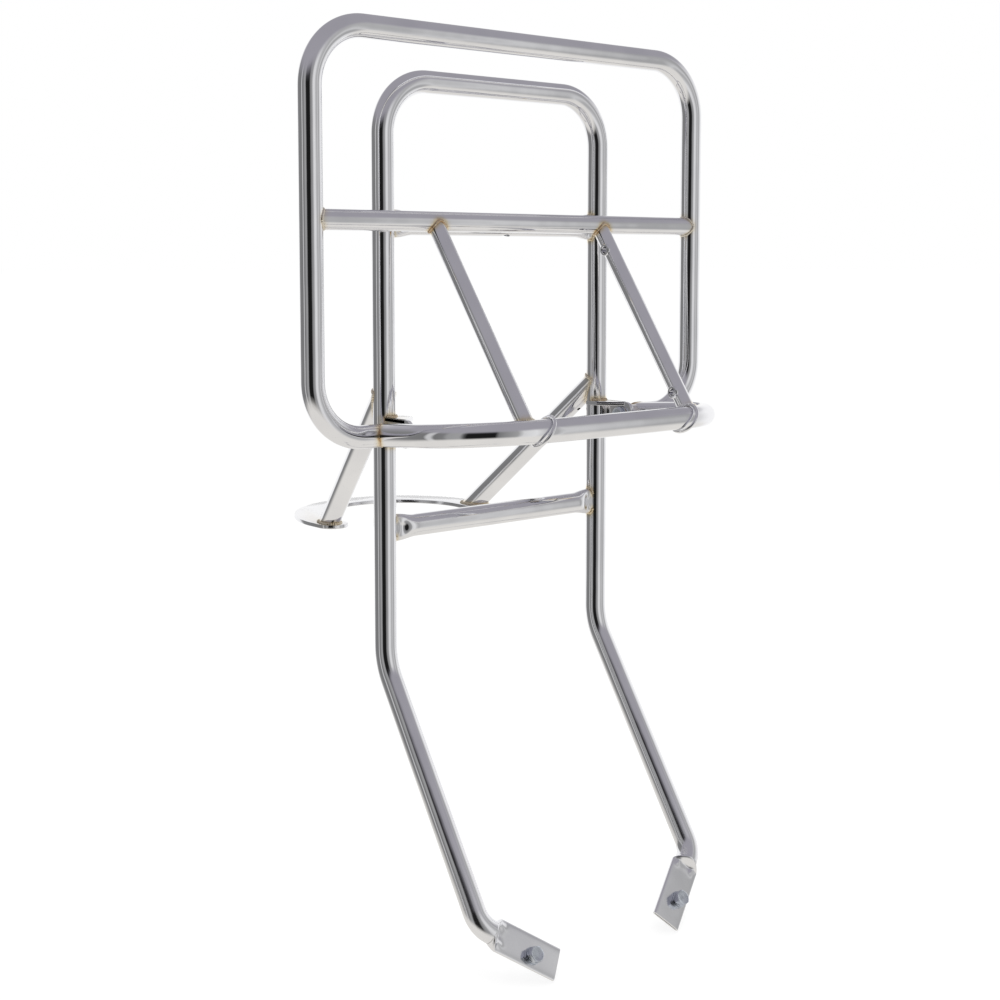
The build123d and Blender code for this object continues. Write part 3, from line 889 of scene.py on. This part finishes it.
hinge = {
    "y": carrier["planeY"],
    "z": carrier["hingeZ"],
    "thickness": 3.0 * mm,
    "top": 9.5 * mm,
    "bottom": 10.0 * mm,
    "cheekX": bracketHigh.x,
    "inboardX": bracketLow.x,
    "inboardDepth": 15.0 * mm,
    "rearY": bracketHigh.y,
    "noseY": bracketLow.y,
    "noseRadius": 7.0 * mm,
    "bushOuter": 5.75 * mm,
    "bushInner": 4.05 * mm,
    "bushProud": 0.3 * mm,
    "endGap": 0.15 * mm,
    "shoulder": 4.0 * mm,
    "headFlats": 10.0 * mm,
    "headHeight": 4.0 * mm,
    "collarRadius": 6.0 * mm,
    "collarHeight": 1.0 * mm,
    "washerRadius": 7.0 * mm,
    "washerThickness": 1.6 * mm,
    "plugSeat": 8.0 * mm,
    "bore": 6.5 * mm,
    "edge": 0.5 * mm,
}


def hexHead(origin, axis, flats, height, turn=0.0):
    # Six flats with the rounded chamfer of a turned head; the base lies at origin
    axis, first, second = sidesOf(axis)
    inner = flats / 2
    topRadius = 0.94 * inner
    count = 72
    rings = [[], [], [], []]
    for step in range(count):
        angle = 2 * pi * step / count
        corner = (angle % (pi / 3)) - pi / 6
        reach = inner / cos(corner)
        outward = first * cos(angle + turn) + second * sin(angle + turn)
        rings[0].append(origin + outward * (reach - 0.15 * mm))
        rings[1].append(origin + outward * reach + axis * 0.15 * mm)
        rings[2].append(origin + outward * reach + axis * (height - (reach - topRadius) * tan(radians(30))))
        rings[3].append(origin + outward * topRadius + axis * height)
    rings.append([point - axis * 0.25 * mm for point in (
        origin + axis * height + (ringPoint - origin - axis * height) * 0.82 for ringPoint in rings[3])])
    return settle(loft(rings), 25)


def buildHinge(side, label):
    sign = Vector((side, 0, 0))
    low, high = hinge["z"] - hinge["bottom"], hinge["z"] + hinge["top"]
    cheekInner = hinge["cheekX"] - hinge["thickness"]
    plan = [
        (side * hinge["inboardX"], hinge["rearY"]),
        (side * hinge["inboardX"], hoop["planeY"] - hinge["inboardDepth"]),
        (side * cheekInner, hinge["noseY"] + hinge["noseRadius"]),
        (side * hinge["cheekX"], hinge["noseY"] + hinge["noseRadius"]),
        (side * hinge["cheekX"], hinge["rearY"]),
    ]
    parts = [
        flatPlate(plan, hinge["thickness"], Vector((0, 0, z)), across, forward, hinge["edge"])
        for z in (low, high - hinge["thickness"])
    ]
    noseY, noseRadius = hinge["noseY"] + hinge["noseRadius"], hinge["noseRadius"]
    cheek = [(hinge["rearY"], low), (hinge["rearY"], high)]
    cheek += arcPoints(noseY, high - noseRadius, noseRadius, pi / 2, pi, 12)
    cheek += arcPoints(noseY, low + noseRadius, noseRadius, pi, 3 * pi / 2, 12)
    start = Vector((cheekInner if side > 0 else -hinge["cheekX"], 0, 0))
    parts.append(flatPlate(cheek, hinge["thickness"], start, forward, upward, hinge["edge"]))
    bracket = smoothed(joined(parts), 30)
    placeChrome(f"hingeBracket{label}", bracket, "frame", [f"hinge_bracket_{label.lower()}"], 0.5)

    # Everything round the hinge line, from inboard to outboard
    eye = Vector((0, hinge["y"], hinge["z"]))
    bushX = cheekInner - hinge["bushProud"]
    seatX = bushX - hinge["endGap"]
    washerX = hinge["cheekX"] + hinge["bushProud"] + hinge["endGap"]
    plugX = washerX + hinge["washerThickness"]
    bushLength = hinge["thickness"] + 2 * hinge["bushProud"]
    bush = turned(ringProfile(hinge["bushOuter"], hinge["bushInner"], bushLength), eye + sign * bushX, sign)
    place(f"hingeBush{label}", bush, "frame", "bush_brass", bushBrass, [f"hinge_bush_{label.lower()}"])
    collarProfile = ringProfile(hinge["collarRadius"], 0.5 * mm, hinge["collarHeight"])
    collar = turned(collarProfile, eye + sign * seatX, -sign)
    headBase = eye + sign * (seatX - hinge["collarHeight"])
    head = hexHead(headBase, -sign, hinge["headFlats"], hinge["headHeight"], 0.3)
    core, run = 0.4 * mm, plugX - seatX
    shoulderProfile = [(core, 0), (hinge["shoulder"], 0), (hinge["shoulder"], run), (core, run)]
    shoulder = turned(shoulderProfile, eye + sign * seatX, sign)
    bolt = joined([collar, head, shoulder])
    placeZinc(f"hingeBolt{label}", bolt, "carrier", [f"hinge_bolt_{label.lower()}"])
    washerProfile = ringProfile(hinge["washerRadius"], hinge["shoulder"], hinge["washerThickness"])
    washer = turned(washerProfile, eye + sign * washerX, sign)
    placeZinc(f"hingeWasher{label}", washer, "carrier", ["hinge_washers"] if side < 0 else ())
    plugLength = carrier["seamX"] + hinge["plugSeat"] - plugX
    plug = turned(ringProfile(hinge["bore"], 3.0 * mm, plugLength, 0.4 * mm), eye + sign * plugX, sign)
    placeChrome(f"hingePlug{label}", plug, "carrier", [f"hinge_plug_{label.lower()}"], 0.6)

    # Welds: round the leg on both flanges and up the cheek's rear edge
    leg = Vector((side * hoop["legX"], hoop["planeY"], 0))
    for z, part in ((high + 0.1 * mm, "Top"), (low - 0.1 * mm, "Bottom")):
        arc = []
        for step in range(25):
            angle = radians(-155 + 90 * step / 24)
            outward = Vector((side * cos(angle), sin(angle), 0))
            arc.append(leg + outward * (tube["radius"] + 0.3 * mm) + upward * z)
        weldBead(f"hinge{label}Weld{part}", arc, "frame", "bracketLeg", 11.0 + side + z * 40, closed=False)
    edgeX, edgeY = side * (hinge["cheekX"] + 0.1 * mm), hinge["rearY"] - 0.4 * mm
    edge = [Vector((edgeX, edgeY, low + (high - low) * step / 20)) for step in range(1, 20)]
    weldBead(f"hinge{label}WeldSide", edge, "frame", "bracketSide", 14.0 + side, closed=False)


buildHinge(-1, "Left")
buildHinge(1, "Right")
print("stage: hinges")

# Carrier loop and bow, mitred where they meet

def seamOf(side):
    point = Vector((side * carrier["seamX"], carrier["planeY"], carrier["hingeZ"]))
    corner = Vector((side * carrier["bowX"], carrier["bowY"], carrier["bowZ"]))
    arm = (corner - point).normalized()
    return point, corner, (Vector((side, 0, 0)) - arm).normalized()


def buildLoop():
    x, y = carrier["loopX"], carrier["planeY"]
    low, high = carrier["hingeZ"], carrier["topZ"]
    inside = carrier["seamX"] - 2 * tube["radius"]
    points = [Vector(place) for place in (
        (-inside, y, low), (-x, y, low), (-x, y, high), (x, y, high), (x, y, low), (inside, y, low))]
    bottom, top = carrier["bottomRadius"], carrier["topRadius"]
    mesh = bentTube(points, [0, bottom, top, top, bottom, 0], tube["radius"])
    for side in (-1, 1):
        point, corner, square = seamOf(side)
        mesh = trimmedNear(mesh, point, -square)
    placeChrome("carrierLoopTube", mesh, "carrier", ["carrier_loop"])


def trimmedNear(mesh, point, direction):
    # Cuts only the tube end close to the seam
    shell = bmesh.new()
    shell.from_mesh(mesh)
    near = [face for face in shell.faces
            if (face.calc_center_median() - point).length < 40 * mm]
    edges = {edge for face in near for edge in face.edges}
    verts = {vertex for face in near for vertex in face.verts}
    bmesh.ops.bisect_plane(
        shell, geom=list(verts) + list(edges) + near, dist=1e-7, plane_co=point, plane_no=direction)
    beyond = [vertex for vertex in shell.verts
              if (vertex.co - point).length < 45 * mm and (vertex.co - point).dot(direction) > 1e-6]
    bmesh.ops.delete(shell, geom=beyond, context="VERTS")
    rim = [edge for edge in shell.edges if edge.is_boundary]
    bmesh.ops.holes_fill(shell, edges=rim)
    shell.to_mesh(mesh)
    shell.free()
    return settle(mesh)


def bowPoints():
    ends = []
    for side in (-1, 1):
        point, corner, square = seamOf(side)
        ends.append((point + (point - corner).normalized() * 2 * tube["radius"], corner))
    return [ends[0][0], ends[0][1], ends[1][1], ends[1][0]]


def buildBow():
    mesh = bentTube(bowPoints(), [0, carrier["bowRadius"], carrier["bowRadius"], 0], tube["radius"])
    for side, label in ((-1, "Left"), (1, "Right")):
        point, corner, square = seamOf(side)
        mesh = trimmedNear(mesh, point, square)
        arm = (corner - point).normalized()
        rim = []
        for outward in around(arm):
            start = point + outward * (tube["radius"] - 0.25 * mm)
            rim.append(start + arm * ((point - start).dot(square) / arm.dot(square)))
        weldBead(f"bowSeamWeld{label}", rim, "carrier", "bowSeam", 21.0 + side)
    placeChrome("bowTube", mesh, "carrier", ["bow"])


buildLoop()
buildBow()
print("stage: loop and bow")

# Carrier crossbar, struts and their threaded inserts

insert = {
    "holeRadius": 2.5 * mm,
    "sleeveRadius": 3.5 * mm,
    "flangeRadius": 4.5 * mm,
    "flangeHeight": 0.8 * mm,
    "chamfer": 0.35 * mm,
    "visibleDepth": 7.0 * mm,
    "drops": (19.0 * mm, 121.0 * mm),
}


def buildCarrierBar():
    left = Vector((-carrier["loopX"], carrier["planeY"], carrier["barZ"]))
    right = Vector((carrier["loopX"], carrier["planeY"], carrier["barZ"]))
    bar = bentTube([left, right], [0, 0], tube["railRadius"])
    placeChrome("carrierCrossbarTube", bar, "carrier", ["carrier_crossbar"])
    middle = (left + right) / 2
    for side, end, label in ((-1, left, "Left"), (1, right, "Right")):
        collar = copeCurve(middle, across * side, tube["railRadius"] + 0.1 * mm, end, upward,
                           tube["radius"] + 0.1 * mm)
        weldBead(f"carrierBarWeld{label}", collar, "carrier", "carrierBar", 25.0 + side)


def strutLine(side):
    top = Vector((side * carrier["strutTopX"], carrier["planeY"], carrier["barZ"]))
    lowY = carrier["planeY"] - carrier["strutFootDepth"]
    low = Vector((side * carrier["strutFootX"], lowY, carrier["bowZ"]))
    return top, low, (low - top).normalized()


def insertProfile():
    hole, sleeve, flange = insert["holeRadius"], insert["sleeveRadius"], insert["flangeRadius"]
    height, chamfer, depth = insert["flangeHeight"], insert["chamfer"], insert["visibleDepth"]
    return [
        (hole, chamfer), (hole + chamfer, 0), (flange - 0.4 * mm, 0), (flange, chamfer),
        (flange, height + 1.2 * mm), (sleeve, height + 1.4 * mm), (sleeve, depth), (hole, depth),
    ]


def buildStrut(side, label):
    top, low, axis = strutLine(side)
    inboard = Vector((-side, 0, 0))
    mesh = bentTube([top, low], [0, 0], tube["strutRadius"])
    holes, flanges = [], []
    for drop in insert["drops"] if side > 0 else ():
        centre = top + axis * (drop / -axis.z)
        face = centre + inboard * (tube["strutRadius"] + insert["flangeHeight"])
        holes.append((face + inboard * mm, -inboard, insert["sleeveRadius"], 8 * mm))
        flanges.append(turned(insertProfile(), face, -inboard, 48))
    if holes:
        mesh = cutHoles(mesh, holes)
        placeChrome("strutInserts", joined(flanges), "carrier", ["strut_inserts"])
    placeChrome(f"strut{label}Tube", mesh, "carrier", [f"strut_{label.lower()}"])
    middle, weldRadius = (top + low) / 2, tube["strutRadius"] + 0.1 * mm
    collar = copeCurve(middle, -axis, weldRadius, top, across, tube["railRadius"] + 0.1 * mm)
    weldBead(f"strut{label}TopWeld", collar, "carrier", "strutTop", 31.0 + side)
    nearest, direction = bowNearest(low)
    collar = copeCurve(middle, axis, weldRadius, nearest, direction, tube["radius"] + 0.1 * mm)
    weldBead(f"strut{label}FootWeld", collar, "carrier", "strutFoot", 34.0 + side)


def bowCentreLine():
    # The bow's centre line, bends included, as closely spaced points
    points = bowPoints()
    line = [points[0]]
    for index in (1, 2):
        before, corner, after = points[index - 1], points[index], points[index + 1]
        inward, outward = (before - corner).normalized(), (after - corner).normalized()
        half = inward.angle(outward) / 2
        reach = carrier["bowRadius"] / tan(half)
        centre = corner + (inward + outward).normalized() * (carrier["bowRadius"] / sin(half))
        first, last = corner + inward * reach - centre, corner + outward * reach - centre
        for step in range(33):
            line.append(centre + slerpVector(first, last, step / 32))
    line.append(points[3])
    return line


def slerpVector(first, last, share):
    angle = first.angle(last)
    return (first * sin((1 - share) * angle) + last * sin(share * angle)) / sin(angle)


def bowNearest(target):
    # The centre line's nearest point, and the line's direction there
    line = bowCentreLine()
    index = min(range(len(line)), key=lambda place: (line[place] - target).length)
    return line[index], (line[index + 1] - line[index - 1]).normalized()


buildCarrierBar()
buildStrut(-1, "Left")
buildStrut(1, "Right")
print("stage: carrier crossbar and struts")

# Loose wire rings that hang leaning on the bow

bowRing = {
    "runs": {"Left": -68.8 * mm, "Right": 63.4 * mm},
    "sectionRadius": 1.2 * mm,
    "lean": 32.0,
    "gap": 0.05 * mm,
}


def pointAlong(line, distance):
    for before, after in zip(line, line[1:]):
        step = (after - before).length
        if distance <= step:
            return before + (after - before) * (distance / step), (after - before).normalized()
        distance -= step


def buildBowRings():
    line = bowCentreLine()
    total = sum((after - before).length for before, after in zip(line, line[1:]))
    lean, section = radians(bowRing["lean"]), bowRing["sectionRadius"]
    radius = (tube["radius"] + bowRing["gap"] + section) / cos(lean)
    profile = arcPoints(radius, 0, section, 0, 2 * pi, 20)[:-1]
    for label, run in bowRing["runs"].items():
        centre, direction = pointAlong(line, total / 2 + run)
        outward = direction.cross(upward).normalized()
        axis = direction * cos(lean) - outward.cross(direction) * sin(lean)
        ring = turned(profile, centre, axis)
        placeChrome(f"bowRing{label}", ring, "carrier", [f"bow_ring_{label.lower()}"])


buildBowRings()
print("stage: bow rings")

# Fasteners in the feet

fastener = {
    "boltRadius": 3.0 * mm,
    "shankRadius": 2.7 * mm,
    "length": 16.0 * mm,
    "threadLength": 9.0 * mm,
    "pitch": 1.0 * mm,
    "flats": 10.0 * mm,
    "headHeight": 4.0 * mm,
    "flatRadius": 6.0 * mm,
    "flatHole": 3.2 * mm,
    "flatThickness": 1.2 * mm,
    "springRadius": 5.5 * mm,
    "springHole": 3.1 * mm,
    "springThickness": 1.6 * mm,
    "springGap": 13.0,
    "springLift": 0.12 * mm,
    "threadDepth": 0.6 * mm,
}


def springWasher(origin, axis, turn):
    # A split ring whose two ends stand slightly apart along the axis
    axis, first, second = sidesOf(axis)
    inner, outer, chamfer = fastener["springHole"], fastener["springRadius"], 0.2 * mm
    rings = []
    for step in range(65):
        angle = radians(fastener["springGap"] / 2 + (360 - fastener["springGap"]) * step / 64) + turn
        outward = first * cos(angle) + second * sin(angle)
        lift = fastener["springLift"] * (step / 32 - 1) * 0.9
        low = fastener["springLift"] + lift
        high = fastener["springThickness"] - fastener["springLift"] + lift
        corners = [(inner, low), (outer - chamfer, low), (outer, low + chamfer), (outer, high - chamfer),
                   (outer - chamfer, high), (inner, high)]
        rings.append([origin + outward * radius + axis * along for radius, along in corners])
    return settle(loft(rings))


def buildFastener(side, label):
    face = boltSeat(side)
    axis = footNormal
    thickness = fastener["flatThickness"]
    flatTop = face + axis * thickness
    seat = flatTop + axis * fastener["springThickness"]
    first = side < 0
    flat = turned(ringProfile(fastener["flatRadius"], fastener["flatHole"], thickness, 0.2 * mm), face, axis)
    placeZinc(f"footFlatWasher{label}", flat, "frame", ["foot_flat_washers"] if first else ())
    spring = springWasher(flatTop, axis, 0.8 + side)
    placeZinc(f"footSpringWasher{label}", spring, "frame", ["foot_spring_washers"] if first else ())
    head = hexHead(seat, axis, fastener["flats"], fastener["headHeight"], 0.2 * side)
    shankRadius, coreRadius = fastener["shankRadius"], fastener["boltRadius"] - fastener["threadDepth"]
    plain, core, tip = fastener["length"] - fastener["threadLength"], 0.3 * mm, 0.5 * mm
    shank = turned([
        (core, 0), (shankRadius, 0), (shankRadius, -plain), (coreRadius, -plain - 0.4 * mm),
        (coreRadius, -fastener["length"] + tip), (coreRadius - tip, -fastener["length"]),
        (core, -fastener["length"]),
    ], seat, axis)
    values = {"Thread Radius": fastener["boltRadius"], "Pitch": fastener["pitch"],
              "Length": fastener["threadLength"] - 1.2 * mm, "Material": zincSteel}
    thread = settle(grow(pathMesh([Vector((0, 0, 0)), Vector((0, 0, mm))]), threadTree, values), 60)
    turn = Vector((0, 0, 1)).rotation_difference(-axis).to_matrix().to_4x4()
    thread.transform(Matrix.Translation(seat - axis * (plain + fastener["threadDepth"])) @ turn)
    placeZinc(f"footBolt{label}", joined([head, shank, thread]), "frame", ["foot_bolts"] if first else ())


buildFastener(-1, "Left")
buildFastener(1, "Right")
print("stage: foot fasteners")

for made, satin in placed:
    storeFinish(made.data, satin)
print("stage: weld heat stored")

# Studio: pale floor, a tent of soft panels seen only in the chrome, and the camera

studio = {
    "azimuth": -40.0,
    "elevation": 5.24,
    "aim": Vector((3.51 * mm, -196 * mm, 102.16 * mm)),
    "distance": 1140.85 * mm,
    "lens": 55.05,
    "shiftY": -0.10,
    "floorDrop": 2 * mm,
    "floorColour": (0.45, 0.45, 0.45),
    "floorLift": 0.66,
    "floorSize": 60.0,
    "skyLight": 0.78,
    # Name, place, power, width and height
    "lamps": [
        ("overheadLamp", (-0.6, -0.9, 1.9), 6, 1.2, 1.2),
        ("sideLamp", (1.6, 0.2, 1.2), 4, 0.8, 1.2),
    ],
    "tentRadius": 2.6,
    "tentColumns": 360,
    "tentRows": (
        -85, -70, -55, -45, -36, -28, -22, -16, -10, -4, 4, 10, 16, 22, 28, 34, 40, 48, 56, 66, 76, 85,
    ),
    "ceiling": (0.36, 0.35, 0.385),
    "skirt": (0.80, 0.78, 0.74),
    # Turn from the camera's own side, to its right, and the panel's brightness
    "panels": [
        (-180, 1.0), (-132, 1.0), (-126, 0.24), (-75, 0.20), (-71, 0.62), (-66, 0.62), (-62, 0.19),
        (-52, 0.22), (-46, 0.34), (-34, 0.36), (-29, 0.10), (-26, 0.012), (4, 0.012), (8, 0.20),
        (14, 0.27), (27, 0.36), (33, 0.70), (47, 0.80), (56, 0.60), (66, 0.46), (72, 0.46), (80, 0.64),
        (88, 0.42), (96, 0.40), (104, 0.72), (118, 0.9), (130, 1.0), (180, 1.0),
    ],
}


def backVector():
    azimuth, elevation = radians(studio["azimuth"]), radians(studio["elevation"])
    return Vector((sin(azimuth) * cos(elevation), -cos(azimuth) * cos(elevation), sin(elevation)))


def panelTone(turn):
    for (before, low), (after, high) in zip(studio["panels"], studio["panels"][1:]):
        if before <= turn <= after:
            return low + (high - low) * (turn - before) / (after - before)
    return 1.0


def buildTent():
    centre = Vector((0, hoop["planeY"], 0))
    facing = atan2(backVector().y, backVector().x)
    rings, colours = [], []
    for elevation in (radians(angle) for angle in studio["tentRows"]):
        above = smoothStep((degrees(elevation) - 18) / 20)
        below = smoothStep((-degrees(elevation) - 16) / 18)
        rings.append([])
        for column in range(studio["tentColumns"]):
            angle = 2 * pi * column / studio["tentColumns"]
            direction = Vector((cos(angle) * cos(elevation), sin(angle) * cos(elevation), sin(elevation)))
            rings[-1].append(centre + direction * studio["tentRadius"])
            tone = panelTone((degrees(angle - facing) + 180) % 360 - 180)
            colours.append([
                (tone * (1 - above) + high * above) * (1 - below) + low * below
                for high, low in zip(studio["ceiling"], studio["skirt"])
            ] + [1])
    mesh = loft(rings)
    layer = mesh.color_attributes.new("panelTone", "FLOAT_COLOR", "POINT")
    layer.data.foreach_set("color", [level for colour in colours for level in colour])
    material, tree = emptyMaterial("tentPanels")
    tone = addNode(tree, "ShaderNodeAttribute", (0, 0), attribute_name="panelTone")
    glow = addNode(tree, "ShaderNodeEmission", (200, 0), {"Color": tone})
    addNode(tree, "ShaderNodeOutputMaterial", (400, 0), {"Surface": glow})
    mesh.materials.append(material)
    tent = newObject("studioTent", mesh)
    tent.visible_camera = False
    tent.visible_diffuse = False
    tent.visible_shadow = False


def buildFloor():
    size = studio["floorSize"]
    height = cadBox[0].z - studio["floorDrop"]
    mesh = bpy.data.meshes.new("studioFloor")
    corners = [(-size, -size), (size, -size), (size, size), (-size, size)]
    mesh.from_pydata([(x, y, height) for x, y in corners], [], [(0, 1, 2, 3)])
    material, tree = emptyMaterial("paleFloor")
    path = addNode(tree, "ShaderNodeLightPath", (-200, 200))
    lift = mathNode(tree, "MULTIPLY", path.outputs["Is Camera Ray"], studio["floorLift"], (0, 200))
    glow = addNode(tree, "ShaderNodeEmission", (200, 200), {"Color": (1, 1, 1, 1), "Strength": lift})
    diffuse = addNode(tree, "ShaderNodeBsdfDiffuse", (200, 0), {"Color": (*studio["floorColour"], 1)})
    blend = addNode(tree, "ShaderNodeAddShader", (400, 100), {0: glow, 1: diffuse})
    addNode(tree, "ShaderNodeOutputMaterial", (600, 100), {"Surface": blend})
    mesh.materials.append(material)
    floorPlane = newObject("studioFloor", mesh)
    floorPlane.visible_glossy = False  # the tent stands in for it in the chrome


def buildWorld():
    world = bpy.data.worlds.new("studioWorld")
    scene.world = world
    world.use_nodes = True
    tree = world.node_tree
    tree.nodes.clear()
    path = addNode(tree, "ShaderNodeLightPath", (-600, 0))
    seen = mathNode(tree, "MAXIMUM", path.outputs["Is Camera Ray"], path.outputs["Is Glossy Ray"], (-400, 0))
    through = mathNode(tree, "MAXIMUM", seen, path.outputs["Is Transmission Ray"], (-200, 0))
    strength = rangeNode(tree, through, 0, 1, studio["skyLight"], 1.0, (0, 0))
    light = addNode(tree, "ShaderNodeBackground", (200, 0), {"Color": (1, 1, 1, 1), "Strength": strength})
    addNode(tree, "ShaderNodeOutputWorld", (400, 0), {"Surface": light})


def buildLamp(name, place, power, width, height):
    data = bpy.data.lights.new(name, "AREA")
    data.energy = power
    data.shape = "RECTANGLE"
    data.size = width
    data.size_y = height
    lamp = bpy.data.objects.new(name, data)
    lamp.visible_glossy = False
    scene.collection.objects.link(lamp)
    lamp.location = place
    lamp.rotation_euler = (studio["aim"] - Vector(place)).to_track_quat("-Z", "Y").to_euler()


def buildCamera():
    data = bpy.data.cameras.new("studioCamera")
    data.sensor_width = 36.0
    data.lens = studio["lens"]
    data.shift_y = studio["shiftY"]
    data.clip_start = 0.01
    data.clip_end = 200
    camera = bpy.data.objects.new("studioCamera", data)
    scene.collection.objects.link(camera)
    back = backVector()
    camera.location = studio["aim"] + back * studio["distance"]
    camera.rotation_euler = back.to_track_quat("Z", "Y").to_euler()
    scene.camera = camera


buildTent()
buildFloor()
buildWorld()
for lamp in studio["lamps"]:
    buildLamp(*lamp)
buildCamera()
scene.view_settings.view_transform = "Standard"
print("stage: studio and camera")
